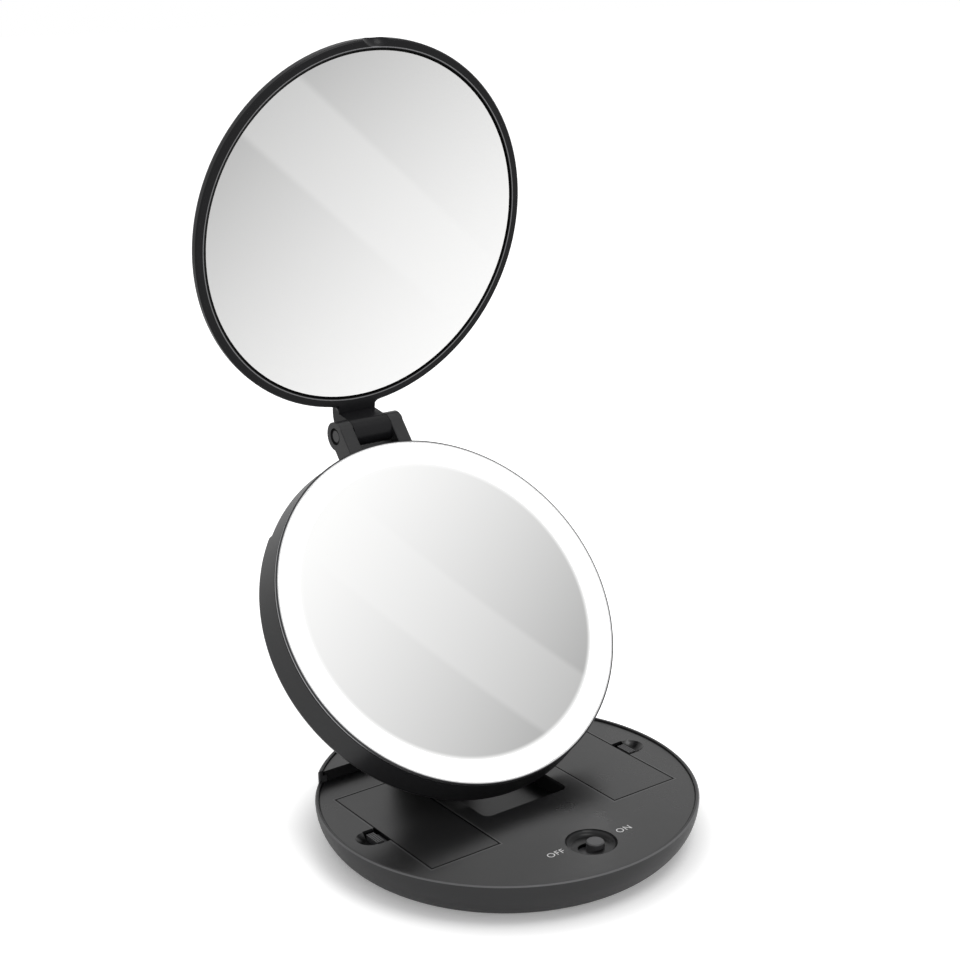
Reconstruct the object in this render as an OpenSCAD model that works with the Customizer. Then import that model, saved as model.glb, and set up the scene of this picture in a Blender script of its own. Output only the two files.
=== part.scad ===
// Folding travel mirror: a lit magnifying mirror and a plain mirror lid on a battery base.
// Origin at the centre of the underside, +Z up, +Y to the rear, the user sits at -Y.
// Drawn as it stands in use: arm up, lit mirror leaning back, lid open.
// Folded, the arm lies in the base's pocket, the lit mirror on the base and the lid on top.

/* [Lit mirror] */
// Diameter of the magnifying mirror
glass_d = 114.4; // [112:0.2:122]
// Depth of the magnifying mirror's hollow
glass_sag = 3; // [2:0.1:3.4]
// Thickness of the magnifying mirror
glass_t = 1.8; // [1.5:0.1:1.9]
// Width of the light ring
ring_w = 7.7; // [7:0.1:9]
// Width of the bezel's front face
bezel_w = 1.2; // [1:0.1:1.6]
// Height of the bezel
bezel_h = 1.5; // [1.2:0.1:1.8]
// How far the rear housing flares out past the bezel
flare = 1.6; // [1:0.1:2]
// Radius of the housing's rear edge
disc_edge_r = 2.5; // [2:0.1:3]
// Thickness of the lit mirror
disc_t = 14.5; // [14.2:0.1:16]
// Wall of the rear housing
disc_wall = 1.8; // [1.5:0.1:2]
// Lean of the lit mirror from flat, in degrees
disc_lean = 49.85; // [47:0.05:53]
// Number of light chips
led_count = 24; // [12:1:36]

/* [Base] */
// How far the base's rim stands out past the bezel
base_margin = 1.1; // [0.8:0.1:2]
// Radius of the bowl-shaped side wall
bowl_r = 16.7; // [16:0.1:18]
// Thickness of the floor of the bottom shell
floor_t = 1.2; // [1.1:0.1:1.6]
// Thickness of the side wall of the bottom shell
shell_t = 2.6; // [2.2:0.1:3]
// Width of the rim round the top plate
rim_w = 1.3; // [1:0.1:1.6]
// Depth of the top plate below the rim
rim_drop = 0.6; // [0.4:0.1:1]
// Thickness of the top plate
plate_t = 1.6; // [1.4:0.1:1.8]
// Height of the raised rear segment
step_h = 4; // [3.8:0.1:4.6]
// Diameter of the non-slip pad
pad_d = 88; // [70:1:92]
// Thickness of the non-slip pad
pad_t = 1; // [0.8:0.1:1.1]
// How far the pad stands out of the underside
pad_proud = 0.5; // [0.3:0.1:0.6]

/* [Battery bays] */
// Cell diameter
cell_d = 10.5; // [10.2:0.1:11]
// Cell length, without its positive cap
cell_l = 43.5; // [42:0.1:44.5]
// Length of a pressed contact spring
spring_l = 5.1; // [4:0.1:5.5]
// Side wall of the battery tray
tray_side = 2.5; // [2.2:0.1:2.8]
// End wall of the battery tray
tray_end = 4.6; // [4:0.1:5]
// Thickness of the tray's floor
tray_floor_t = 0.6; // [0.5:0.1:0.8]
// Thickness of a battery door
door_t = 1.4; // [1.2:0.1:1.6]
// Distance of a door's middle to the rear
door_y = 0.6; // [-1:0.1:1.2]
// Reach of a door's hooks under the plate
hook_l = 1.6; // [1.4:0.1:2]
// Width of a latch window along the door
latch_w = 10.6; // [10:0.2:12]
// Width of a latch tab
tab_w = 6.8; // [6:0.2:7.4]
// Radius of the mouth of a finger scoop
scoop_r = 4.9; // [4.4:0.1:5.2]
// Depth of a finger scoop
scoop_h = 2.2; // [1.8:0.1:2.4]

/* [Switch] */
// Distance of the switch from the base's front edge
switch_y = 20.5; // [19.5:0.5:22.5]
// Diameter of the switch's round dish
dish_d = 17.6; // [16.6:0.2:19]
// Depth of the dish
dish_h = 2; // [1.6:0.1:2.3]
// Diameter of the switch knob
knob_d = 6.2; // [5:0.1:6.6]
// Travel from off to on
switch_travel = 3.3; // [2.5:0.1:3.5]

/* [Arm] */
// Width of the support arm
arm_w = 34; // [31:0.5:35]
// Thickness of the support arm
arm_t = 5.4; // [5:0.1:5.6]
// Depth of the arm's lower axis below the rim
arm_axis_drop = 1.5; // [1.2:0.1:1.8]
// Radius of the arm's lower knuckle
knuckle_r = 4; // [3.8:0.1:4.2]
// Diameter of the arm's lower pin
arm_pin_d = 3; // [2.4:0.1:3.4]
// Radius of the tilt hinge
tilt_r = 3.2; // [3:0.1:3.3]
// Diameter of the tilt pin
tilt_pin_d = 2.5; // [2:0.1:3]
// Width of the arm's upper knuckle
tilt_knuckle_w = 20; // [18:0.5:21]
// Forward lean of the raised arm, in degrees
arm_lean = 4.5; // [3.5:0.5:5.5]
// Distance of the arm pocket's front edge from the centre
pocket_front = 12.2; // [11:0.1:14]

/* [Lid] */
// How far the lid stands out past the bezel
lid_margin = 1.3; // [1:0.1:2]
// Thickness of the lid
lid_t = 4.6; // [4.4:0.1:6]
// Radius of the round edge at the lid's back
lid_edge = 2.6; // [2:0.1:2.8]
// Width of the lid's frame
frame_w = 4.2; // [4:0.1:5]
// Thickness of the lid's mirror
lid_glass_t = 2; // [1.8:0.1:2.4]
// Angle between lid and lit mirror, in degrees
lid_open = 130.5; // [120:0.1:140]
// Radius of the lid's hinge
hinge_r = 5.4; // [5:0.1:5.7]
// Depth of the lid's axis behind the bezel
hinge_drop = 6.5; // [6.2:0.1:6.8]
// Width of each hinge ear
ear_w = 5.5; // [5:0.1:6.5]
// Width of the lid's knuckle
lid_knuckle_w = 15.8; // [14:0.2:18]
// Diameter of the lid's pin
lid_pin_d = 3; // [2.4:0.1:3.4]

/* [Hidden] */
$fn = 96;
arc_fn = 40;
eps = 0.01;
// clearances
seam = 0.2;
run = 0.05;
side_gap = 0.2;
fold_gap = 0.5;
cell_clear = 0.1;
hinge_room = 1.8;
edge_dip = 0.3;
// bevels
rim_bevel = 0.35;
fine_bevel = 0.15;
arm_bevel = 0.6;
ear_bevel = 0.3;
// radii of the three discs
glass_r = glass_d / 2;
ring_in = glass_r + seam;
ring_out = ring_in + ring_w;
bezel_in = ring_out + 0.1;
bezel_r = bezel_in + bezel_w;
disc_r = bezel_r + flare;
base_r = bezel_r + base_margin;
lid_r = bezel_r + lid_margin;
// levels of the base, stacked up from the pad
shell_z = pad_proud;
floor_z = shell_z + floor_t;
cell_r = cell_d / 2;
cell_z = floor_z + tray_floor_t + cell_clear + cell_r;
door_z = cell_z + cell_r + cell_clear;
plate_z = door_z + door_t;
base_h = plate_z + rim_drop;
plate_low = plate_z - plate_t;
raised_z = plate_z + step_h;
raised_low = raised_z - plate_t;
plate_r = base_r - rim_w - seam;
shell_in = base_r - shell_t;
bowl_middle = base_r - bowl_r;
// arm, drawn folded down and then turned up about its lower axis
arm_z = base_h - arm_axis_drop;
tilt_drop = tilt_r + 0.3;
tilt_z = base_h + fold_gap - tilt_drop;
tilt_rise = (disc_r - disc_edge_r) * sin(disc_lean) + disc_edge_r
    - (tilt_drop + disc_edge_r) * cos(disc_lean);
tilt_rest_z = plate_z - edge_dip + tilt_rise;
arm_len = (tilt_rest_z - arm_z) / cos(arm_lean);
arm_axis_y = sqrt(arm_len * arm_len - (arm_z - tilt_z) * (arm_z - tilt_z));
tilt_rest_y = arm_axis_y - arm_len * sin(arm_lean);
arm_fold = 90 + atan2(arm_z - tilt_z, arm_axis_y) - arm_lean;
pocket_gap = 0.5;
pocket_w = arm_w + 2;
pocket_z = tilt_z - tilt_r - pocket_gap;
pocket_rear = arm_axis_y + knuckle_r + pocket_gap;
pocket_corner = 3;
well_t = 1.6;
lug_w = 4;
step_y = arm_axis_y - knuckle_r - 0.4;
tongue = tilt_r + 0.9;
channel_h = 3;
cover_t = 1.2;
cover_w = 22;
cover_front = tongue + 2;
cover_rear = arm_axis_y - knuckle_r - 3;
channel_half = 5;
// battery bays, measured on the right-hand one
cell_pitch = cell_d + 0.7;
groove_r = cell_r + cell_clear + 0.1;
door_w = cell_pitch + 2 * groove_r + 2 * tray_side;
bay_l = cell_l + 1 + spring_l + 1;
door_l = bay_l + 2 * tray_end;
door_x = pocket_w / 2 + lug_w + hook_l + 1.3;
door_end = door_x + door_w;
door_front = door_y - door_l / 2;
door_rear = door_y + door_l / 2;
cell_mid = door_x + door_w / 2;
tray_top = door_z - 0.1;
cap_r = 1.9;
cap_h = 1;
contact_t = 0.5;
contact_r = 4.4;
spring_wide = 3.4;
spring_narrow = 2.2;
bridge_low = 0.2;
bridge_high = 3;
hook_w = 8;
hook_t = 1.2;
hook_leg = 1.2;
hook_pitch = 36;
hook_room = 4.2;
// latches
latch_gap = 1.7;
tab_l = 2.8;
tab_drop = 0.4;
scoop_x = door_end + latch_gap + tab_l + 0.5;
scoop_ball = (scoop_r * scoop_r + scoop_h * scoop_h) / (2 * scoop_h);
strip_t = 1;
strip_in = 3;
strip_z = door_z - strip_t - 0.2;
rail_w = 1.2;
rail_t = strip_t + 0.4;
// switch
switch_mid = base_r - switch_y;
dish_r = dish_d / 2;
dish_z = plate_z - dish_h;
dish_t = 1.2;
slot_r = knob_d / 2 + seam;
knob_x = switch_travel / 2;
knob_top = plate_z - 0.2;
flange_t = 0.9;
flange_z = dish_z - dish_t - 0.3 - flange_t;
board_z = floor_z + 1;
board_t = 1.2;
board_half = 15;
board_d = 8;
switch_body_w = 6.5;
switch_body_d = 3.5;
switch_z = board_z + board_t;
switch_h = 5;
lever_in = 1.5;
// base screws
boss_r = 4;
boss_split = 7;
screw_r = 1.25;
screw_head_r = 2.4;
screw_head_h = 1.6;
screw_seat = shell_z + screw_head_h + 1;
screw_bite = 4;
screw_l = boss_split - screw_seat + screw_bite;
screw_ring = bowl_middle + 0.7;
screw_front_x = board_half + boss_r + 3;
screw_rear_y = door_rear + boss_r + 2.5;
// inside of the lit mirror
relief_y = step_y - 0.5;
relief_h = step_h + 0.3;
relief_z = relief_h - disc_t;
ring_drop = 0.4;
glass_drop = 0.9;
glass_seat = glass_drop + glass_t;
ring_low = glass_seat - 0.1;
carrier_out = ring_in + 1;
carrier_in = glass_r - 1.2;
carrier_t = 1.2;
led_t = 1;
led_z = relief_z + disc_wall + 0.1 + led_t;
led_low = led_z - led_t;
chip_l = 2.8;
chip_w = 3.5;
chip_h = 0.9;
led_out = bezel_r - disc_wall - 0.5;
post_ring = 35;
post_r = 3.5;
// tilt bracket
bracket_t = 1.6;
bracket_l = 26;
bracket_ear = 5.6;
bracket_in = tilt_knuckle_w / 2 + side_gap;
bracket_flank = 4;
bracket_w = 2 * (bracket_in + bracket_ear + bracket_flank);
bracket_screw_r = 1;
bracket_screw_l = 2.3;
bracket_head_r = 1.9;
bracket_head_h = 0.8;
// lid hinge and lid
hinge_y = max(disc_r, lid_r) + hinge_room + hinge_r;
lid_axis_z = fold_gap + hinge_drop;
lid_glass_r = lid_r - frame_w;
lid_glass_drop = 0.5;
lid_pad_t = 0.6;
lid_pad_in = 4;
lip_w = 1.2;
lid_pocket = lid_glass_drop + lid_glass_t + lid_pad_t;
ear_in = lid_knuckle_w / 2 + side_gap;
ear_out = ear_in + ear_w;
ear_root = bezel_r - 2 * disc_wall - 1;
saddle_gap = 0.4;
saddle_drop = 4.5;
pin_head_r = 2.2;
pin_head_h = 0.8;
pin_sink_r = 3.2;
pin_sink = 1.2;
web_y = hinge_y - hinge_r + run;
web_r = lid_axis_z + lid_t;
tab_fillet_r = 2.4;
thumb_r = 7;

// places

// From the folded arm's place to the raised arm
module at_arm() {
    translate([0, arm_axis_y, arm_z]) rotate([-arm_fold, 0, 0])
        translate([0, -arm_axis_y, -arm_z]) children();
}

// From a mirror facing up at the origin to the leaning lit mirror
module at_disc() {
    translate([0, tilt_rest_y, tilt_rest_z]) rotate([disc_lean, 0, 0])
        translate([0, 0, disc_t + tilt_drop]) children();
}

// From a mirror facing up at the origin to the open lid
module at_lid() {
    at_disc() translate([0, hinge_y, -hinge_drop]) rotate([180 - lid_open, 0, 0])
        translate([0, hinge_y, -lid_axis_z]) children();
}

// The right-hand bay and its mirror image
module both_sides() {
    children();
    mirror([1, 0, 0]) children();
}

module cell_places() {
    for (side = [-1, 1])
        translate([cell_mid + side * cell_pitch / 2, 0, cell_z]) children();
}

module screw_places() {
    for (side = [-1, 1]) {
        translate([side * screw_front_x, -sqrt(pow(screw_ring, 2) - pow(screw_front_x, 2)), 0])
            children();
        translate([side * sqrt(pow(screw_ring, 2) - pow(screw_rear_y, 2)), screw_rear_y, 0])
            children();
    }
}

module bracket_screw_places() {
    for (x = [-1, 1], y = [-1, 1])
        translate([x * (bracket_w / 2 - 2.8), y * (bracket_l / 2 - 3.2), -disc_t]) children();
}

// shapes

module tube(r_out, r_in, z_low, z_high) {
    translate([0, 0, z_low]) difference() {
        cylinder(r = r_out, h = z_high - z_low);
        translate([0, 0, -1]) cylinder(r = r_in, h = z_high - z_low + 2);
    }
}

// A cylinder along X
module bar_x(r, x_low, x_high, y, z) {
    translate([x_low, y, z]) rotate([0, 90, 0]) cylinder(r = r, h = x_high - x_low);
}

// A cylinder along Y
module bar_y(r, y_low, y_high) {
    translate([0, y_low, 0]) rotate([-90, 0, 0]) cylinder(r = r, h = y_high - y_low);
}

// A box from its two far corners
module box(low, high) {
    translate(low) cube(high - low);
}

module behind(y) {
    box([-2 * base_r, y, -base_r], [2 * base_r, 2 * base_r, 2 * base_r]);
}

// A box whose two front corners are round
module pocket_box(half_w, y_front, y_rear, z_low, z_high, r) {
    box([-half_w, y_front + r, z_low], [half_w, y_rear, z_high]);
    box([-half_w + r, y_front, z_low], [half_w - r, y_front + 2 * r, z_high]);
    for (side = [-1, 1])
        translate([side * (half_w - r), y_front + r, z_low]) cylinder(r = r, h = z_high - z_low);
}

// A slot along X with round ends
module slot_x(r, half_l, z_low, z_high) {
    box([-half_l, -r, z_low], [half_l, r, z_high]);
    for (side = [-1, 1])
        translate([side * half_l, 0, z_low]) cylinder(r = r, h = z_high - z_low);
}

// What a bevel takes off the upper edge of a disc of radius r whose top is at z
module edge_ring(r, z, bevel) {
    rotate_extrude() polygon([[r - bevel, z], [r, z - bevel], [r + 1, z - bevel], [r + 1, z + 1],
        [r - bevel, z + 1]]);
}

// The same on the upper edge of a round hole
module hole_ring(r, z, bevel) {
    rotate_extrude() polygon([[r - 1, z - bevel], [r, z - bevel], [r + bevel, z], [r + bevel, z + 1],
        [r - 1, z + 1]]);
}

// What a bevel takes off a straight edge along X
module edge_x(half_l, y, z, bevel) {
    translate([0, y, z]) rotate([45, 0, 0])
        cube([2 * half_l, bevel * sqrt(2), bevel * sqrt(2)], center = true);
}

// The same along Y
module edge_y(x, y_low, y_high, z, bevel) {
    translate([x, (y_low + y_high) / 2, z]) rotate([0, 45, 0])
        cube([bevel * sqrt(2), y_high - y_low, bevel * sqrt(2)], center = true);
}

// A round tub: straight wall of radius r above z_arc, an arc below it, cut off flat at z_low
module tub(r, arc, z_low, z_arc, z_high) {
    rotate_extrude() {
        translate([0, z_low]) square([r - arc + eps, z_high - z_low]);
        translate([r - arc, z_arc]) square([arc, z_high - z_arc]);
        intersection() {
            translate([r - arc, z_arc]) circle(r = arc, $fn = 2 * arc_fn);
            translate([r - arc, z_low]) square([arc + 1, z_arc - z_low + eps]);
        }
    }
}

// base

module base_bottom_shell() color([0.17, 0.17, 0.18]) {
    difference() {
        union() {
            tub(base_r, bowl_r, shell_z, base_h, base_h + eps);
            intersection() {
                tube(base_r, shell_in - 2, base_h - 2, base_h + step_h);
                behind(step_y - seam);
            }
        }
        tub(shell_in, bowl_r - shell_t, floor_z, base_h, base_h + step_h + 1);
        // seat of the top plate, higher behind the step
        difference() {
            translate([0, 0, plate_low]) cylinder(r = plate_r + seam, h = base_h);
            behind(step_y - seam);
        }
        translate([0, 0, raised_low]) cylinder(r = plate_r + seam, h = base_h);
        translate([0, 0, -1]) cylinder(d = pad_d + 2 * seam, h = 1 + pad_t);
        screw_places() screw_recess();
        edge_ring(base_r, base_h + step_h, rim_bevel);
        hole_ring(plate_r + seam, base_h + step_h, fine_bevel);
        difference() {
            union() {
                edge_ring(base_r, base_h, rim_bevel);
                hole_ring(plate_r + seam, base_h, fine_bevel);
            }
            behind(step_y - seam);
        }
    }
    difference() {
        union() {
            screw_places() translate([0, 0, floor_z - eps])
                cylinder(r = boss_r, h = boss_split - floor_z);
            for (side = [-1, 1])
                translate([side * (board_half - 3), -switch_mid, floor_z - eps])
                    cylinder(r = 2, h = board_z - floor_z + eps);
        }
        screw_places() screw_recess();
    }
}

module screw_recess() {
    translate([0, 0, -1]) cylinder(r = screw_head_r + 0.3, h = screw_seat + 1);
    translate([0, 0, -1]) cylinder(r = screw_r + seam, h = boss_split + 2);
}

module base_screws() color([0.55, 0.55, 0.57]) screw_places() {
    difference() {
        translate([0, 0, screw_seat - screw_head_h]) cylinder(r = screw_head_r, h = screw_head_h);
        for (turn = [0, 90])
            translate([0, 0, screw_seat - screw_head_h - eps]) rotate([0, 0, turn])
                box([-1.4, -0.3, 0], [1.4, 0.3, 0.8]);
    }
    translate([0, 0, screw_seat - eps]) cylinder(r = screw_r, h = screw_l);
}

module non_slip_pad() color([0.1, 0.1, 0.1]) {
    cylinder(d = pad_d, h = pad_t);
}

// What one bay cuts out of the plate: door opening, latch window and finger scoop
module bay_cuts() {
    box([door_x - seam, door_front - seam, plate_low - 1],
        [door_end + seam, door_rear + seam, plate_z + 1]);
    box([door_end, -latch_w / 2, plate_low - 3], [scoop_x, latch_w / 2, plate_z + 1]);
    translate([scoop_x, 0, plate_z - scoop_h + scoop_ball]) sphere(r = scoop_ball);
}

module scoop_boss() {
    intersection() {
        translate([scoop_x, 0, plate_z - scoop_h - 1]) cylinder(r = scoop_r + 1.2, h = scoop_h);
        box([scoop_x, -2 * scoop_r, 0], [scoop_x + 2 * scoop_r, 2 * scoop_r, plate_z]);
    }
}

module base_top_plate() color([0.3, 0.3, 0.31]) {
    well_half = pocket_w / 2 + well_t;
    difference() {
        union() {
            // flat front part
            difference() {
                translate([0, 0, plate_low]) cylinder(r = plate_r, h = plate_t);
                behind(step_y - 2 * seam);
            }
            difference() {
                translate([0, 0, plate_low]) cylinder(r = shell_in - seam, h = plate_t);
                behind(step_y + plate_t);
            }
            // raised segment and the face of the step
            intersection() {
                union() {
                    translate([0, 0, raised_low]) cylinder(r = plate_r, h = plate_t);
                    intersection() {
                        translate([0, 0, plate_low])
                            cylinder(r = shell_in - seam, h = raised_z - plate_low);
                        box([-base_r, step_y, 0], [base_r, step_y + plate_t, raised_z]);
                    }
                }
                behind(step_y);
            }
            // well of the arm, with lugs for its pin
            pocket_box(well_half, -pocket_front - well_t, pocket_rear + well_t,
                pocket_z - well_t, plate_low + eps, pocket_corner + well_t);
            box([-well_half, step_y, plate_low], [well_half, pocket_rear + well_t, raised_z]);
            both_sides() bar_x(knuckle_r, pocket_w / 2, pocket_w / 2 + lug_w, arm_axis_y, arm_z - 0.6);
            both_sides() scoop_boss();
            translate([0, -switch_mid, 0]) tub(dish_r + dish_t, dish_h, dish_z - dish_t,
                plate_z - dish_t, plate_z);
            screw_places() translate([0, 0, boss_split])
                cylinder(r = boss_r - 1, h = plate_low - boss_split + eps);
        }
        both_sides() bay_cuts();
        pocket_box(pocket_w / 2, -pocket_front, pocket_rear, pocket_z, raised_z + 1, pocket_corner);
        bar_x(arm_pin_d / 2 + run / 2, -base_r / 2, base_r / 2, arm_axis_y, arm_z);
        translate([0, -switch_mid, 0]) tub(dish_r, dish_h, dish_z, plate_z, plate_z + 1);
        translate([0, -switch_mid, 0]) slot_x(slot_r, switch_travel / 2, 1, plate_z);
        screw_places() translate([0, 0, screw_seat])
            cylinder(r = screw_r + run, h = screw_l + 0.5);
    }
}

// Cradles for two cells, in a tub that fits the bowl
module battery_tray() {
    difference() {
        intersection() {
            box([door_x, door_front, floor_z], [door_end, door_rear, tray_top]);
            tub(shell_in - seam, bowl_r - shell_t - seam, floor_z, base_h, base_h + 1);
        }
        cell_places() bar_y(groove_r, door_front + tray_end, door_rear - tray_end);
        translate([cell_mid, 0, cell_z])
            box([-cell_pitch / 2 - groove_r, door_front + tray_end, 0],
                [cell_pitch / 2 + groove_r, door_rear - tray_end, base_h]);
        // notches for the door's hooks
        for (end = [-1, 1])
            translate([0, door_y + end * hook_pitch / 2, 0])
                box([door_x - 1, -hook_w / 2 - 1, tray_top - hook_room],
                    [door_x + tray_side + 1, hook_w / 2 + 1, tray_top + 1]);
        // notch for the latch and its rails
        box([door_end - tray_side - 1, -latch_w / 2, door_z - 3], [door_end + 1, latch_w / 2, base_h]);
    }
}

module battery_tray_left() color([0.2, 0.2, 0.21]) mirror([1, 0, 0]) battery_tray();
module battery_tray_right() color([0.2, 0.2, 0.21]) battery_tray();

// Two cells, laid opposite ways
module bay_cells() {
    for (way = [-1, 1])
        translate([cell_mid + way * cell_pitch / 2, door_y - way * (bay_l / 2 - contact_t - spring_l),
            cell_z]) rotate([way > 0 ? -90 : 90, 0, 0]) {
                cylinder(r = cell_r, h = cell_l);
                cylinder(r = cap_r, h = cell_l + cap_h);
            }
}

module battery_cells_left() color([0.75, 0.62, 0.3]) mirror([1, 0, 0]) bay_cells();
module battery_cells_right() color([0.75, 0.62, 0.3]) bay_cells();

// The pressed contact springs, as plain tapered plugs
module battery_springs() color([0.75, 0.75, 0.77]) both_sides() {
    for (way = [-1, 1])
        translate([cell_mid + way * cell_pitch / 2, door_y - way * (bay_l / 2 - contact_t), cell_z])
            rotate([way > 0 ? -90 : 90, 0, 0]) cylinder(r1 = spring_wide, r2 = spring_narrow, h = spring_l);
}

// A joined contact plate at the front of each bay and two single ones at its rear
module battery_contacts() color([0.8, 0.8, 0.78]) both_sides() {
    bay_front = door_y - bay_l / 2;
    bay_rear = door_y + bay_l / 2;
    cell_places() {
        bar_y(contact_r, bay_front, bay_front + contact_t);
        bar_y(contact_r, bay_rear - contact_t, bay_rear);
    }
    translate([cell_mid, bay_front, cell_z])
        box([-cell_pitch / 2, 0, bridge_low], [cell_pitch / 2, contact_t, bridge_high]);
}

module battery_door() {
    hook_z = plate_low - seam - hook_t;
    difference() {
        box([door_x, door_front, door_z], [door_end, door_rear, plate_z]);
        for (y = [door_front, door_rear])
            translate([cell_mid, 0, 0]) edge_x(door_w / 2 + 1, y, plate_z, fine_bevel);
        for (x = [door_x, door_end])
            edge_y(x, door_front - 1, door_rear + 1, plate_z, fine_bevel);
    }
    // hooks that reach under the plate
    for (end = [-1, 1])
        translate([0, door_y + end * hook_pitch / 2, 0]) {
            box([door_x - hook_l, -hook_w / 2, hook_z], [door_x + hook_leg, hook_w / 2, hook_z + hook_t]);
            box([door_x, -hook_w / 2, hook_z], [door_x + hook_leg, hook_w / 2, door_z + eps]);
        }
    // rails of the latch
    for (side = [-1, 1])
        translate([0, side * (tab_w / 2 + 0.1 + rail_w / 2), 0])
            box([door_end - strip_in, -rail_w / 2, door_z - rail_t],
                [door_end - 0.1, rail_w / 2, door_z + eps]);
}

module battery_door_left() color([0.3, 0.3, 0.31]) mirror([1, 0, 0]) battery_door();
module battery_door_right() color([0.3, 0.3, 0.31]) battery_door();

// A tab with grip grooves, on a strip that slides between the door's rails
module door_latch() {
    tab_x = door_end + latch_gap;
    tab_z = plate_z - tab_drop;
    difference() {
        box([tab_x, -tab_w / 2, strip_z], [tab_x + tab_l, tab_w / 2, tab_z]);
        for (i = [0 : 2])
            box([tab_x + 0.5 + i * 0.8, -tab_w / 2 - 1, tab_z - 0.25],
                [tab_x + 0.8 + i * 0.8, tab_w / 2 + 1, tab_z + 1]);
    }
    box([door_end - strip_in, -tab_w / 2 + 0.1, strip_z], [tab_x + eps, tab_w / 2 - 0.1, strip_z + strip_t]);
}

module door_latch_left() color([0.24, 0.24, 0.25]) mirror([1, 0, 0]) door_latch();
module door_latch_right() color([0.24, 0.24, 0.25]) door_latch();

// switch

module switch_knob() color([0.36, 0.36, 0.37]) translate([knob_x, -switch_mid, 0]) {
    half_l = slot_r + switch_travel + 0.3;
    difference() {
        translate([0, 0, flange_z + flange_t - eps])
            cylinder(d = knob_d, h = knob_top - flange_z - flange_t + eps);
        edge_ring(knob_d / 2, knob_top, rim_bevel);
    }
    box([-half_l, -slot_r - 0.8, flange_z], [half_l, slot_r + 0.8, flange_z + flange_t]);
}

module switch_lever() color([0.1, 0.1, 0.1]) translate([knob_x, -switch_mid, 0]) {
    box([-1.1, -1, switch_z + switch_h - lever_in], [1.1, 1, flange_z]);
}

module switch_body() color([0.65, 0.66, 0.68]) translate([0, -switch_mid, 0]) difference() {
    box([-switch_body_w, -switch_body_d, switch_z],
        [switch_body_w, switch_body_d, switch_z + switch_h]);
    box([-1.3 - knob_x, -1.2, switch_z + switch_h - lever_in - seam],
        [1.3 + knob_x, 1.2, switch_z + switch_h + 1]);
}

module switch_board() color([0.1, 0.35, 0.2]) translate([0, -switch_mid, 0]) {
    box([-board_half, -board_d, board_z], [board_half, board_d, switch_z]);
}

// arm

module arm_hinge_pin() color([0.7, 0.7, 0.72]) {
    half_l = pocket_w / 2 + lug_w;
    bar_x(arm_pin_d / 2, -half_l, half_l, arm_axis_y, arm_z);
}

module support_arm() color([0.16, 0.16, 0.17]) at_arm() {
    half_w = arm_w / 2;
    knuckle_half = tilt_knuckle_w / 2;
    low = plate_z - arm_t;
    difference() {
        union() {
            difference() {
                pocket_box(half_w, tongue, arm_axis_y, low, plate_z, pocket_corner);
                for (side = [-1, 1], z = [low, plate_z])
                    edge_y(side * half_w, tongue - 1, arm_axis_y + 1, z, arm_bevel);
                for (z = [low, plate_z])
                    edge_x(half_w + 1, tongue, z, arm_bevel);
            }
            bar_x(knuckle_r, -half_w, half_w, arm_axis_y, arm_z);
            bar_x(tilt_r, -knuckle_half, knuckle_half, 0, tilt_z);
            box([-knuckle_half, 0, low], [knuckle_half, tongue + 1, plate_z]);
        }
        bar_x(arm_pin_d / 2 + run, -half_w - 1, half_w + 1, arm_axis_y, arm_z);
        bar_x(tilt_pin_d / 2 + run, -half_w - 1, half_w + 1, 0, tilt_z);
        // recess of the cover, and the channel of the wires under it
        box([-cover_w / 2 - seam, cover_front - seam, low - 1],
            [cover_w / 2 + seam, cover_rear + seam, low + cover_t]);
        box([-channel_half, cover_front + 1, low - 1], [channel_half, cover_rear - 1, low + channel_h]);
    }
}

module arm_cover() color([0.2, 0.2, 0.21]) at_arm() {
    low = plate_z - arm_t;
    box([-cover_w / 2, cover_front, low], [cover_w / 2, cover_rear, low + cover_t]);
}

module tilt_pin() color([0.7, 0.7, 0.72]) at_arm() {
    half_l = bracket_in + bracket_ear;
    bar_x(tilt_pin_d / 2, -half_l, half_l, 0, tilt_z);
}

// lit mirror

// The housing's flared wall and round rear edge, drawn in by inset, up to z_front
module housing_body(inset, z_front) {
    edge = disc_edge_r - inset / 2;
    r_rear = disc_r - inset;
    z_rear = inset - disc_t;
    rotate_extrude() {
        polygon([[0, z_front], [bezel_r - inset, z_front], [r_rear, z_rear + edge], [0, z_rear + edge]]);
        translate([0, z_rear]) square([r_rear - edge + eps, edge + eps]);
        intersection() {
            translate([r_rear - edge, z_rear + edge]) circle(r = edge, $fn = arc_fn);
            translate([r_rear - edge, z_rear - 1]) square([edge + 1, edge + 1]);
        }
    }
}

// What the raised rear segment of the base needs free when folded
module relief_cut(inset) {
    box([-2 * disc_r, relief_y - inset, -2 * disc_t], [2 * disc_r, 2 * disc_r, relief_z + inset]);
}

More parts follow.
